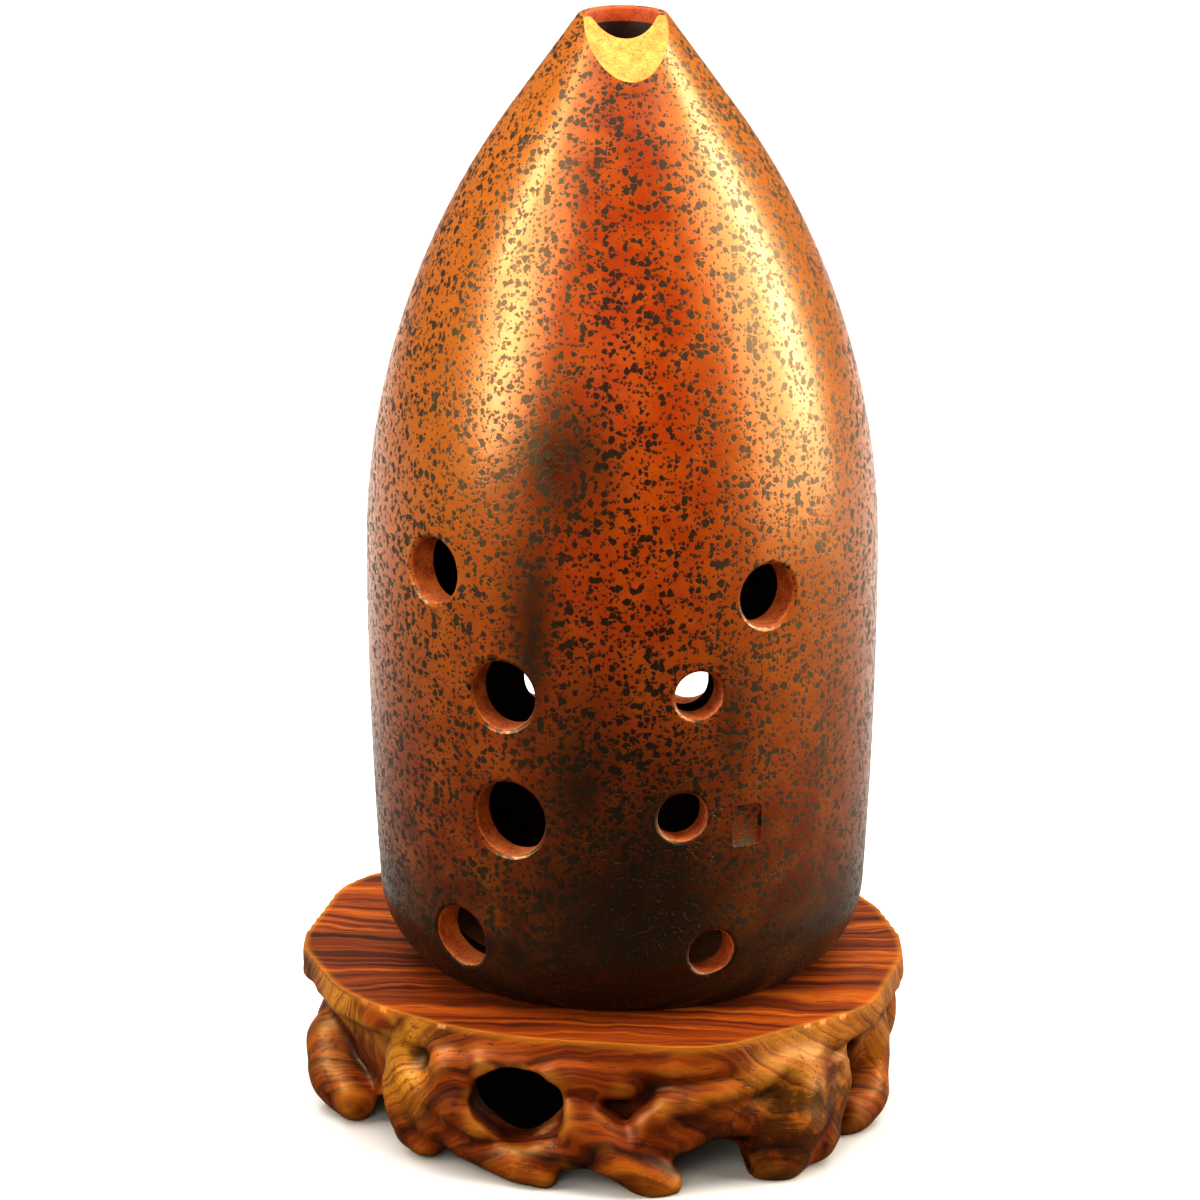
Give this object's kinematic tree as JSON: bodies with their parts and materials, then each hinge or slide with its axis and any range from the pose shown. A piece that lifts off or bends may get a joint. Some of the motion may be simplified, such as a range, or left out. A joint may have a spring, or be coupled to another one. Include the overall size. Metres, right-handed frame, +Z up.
{
  "type": "ocarina",
  "caption": "Pottery xun: a bullet-shaped clay vessel flute with finger and thumb holes and a notched mouth, standing loose on a wooden stand carved as roots.",
  "frame": {"origin": "middle of the stand's footprint, on the ground that its root feet stand on", "axes": "+Z up through the stand and the vessel, towards the mouth; -Y towards the player, who faces the eight finger holes; +X to the right as seen from -Y"},
  "size_m": [0.0936, 0.0924, 0.1705],
  "materials": {
    "glazed_clay": "glossy",
    "bare_clay": "matte",
    "table_wood": "satin",
    "root_wood": "satin"
  },
  "bodies": {
    "stand": {"stand_table": "table_wood", "stand_root_ring": "root_wood"},
    "vessel": {"vessel_wall": "glazed_clay", "foot_disc": "bare_clay"}
  },
  "joints": [
    {"name": "vessel_lift", "type": "slide", "parent": "stand", "child": "vessel", "axis": [0, 0, 1], "range_m": [0, 0.06]}
  ]
}
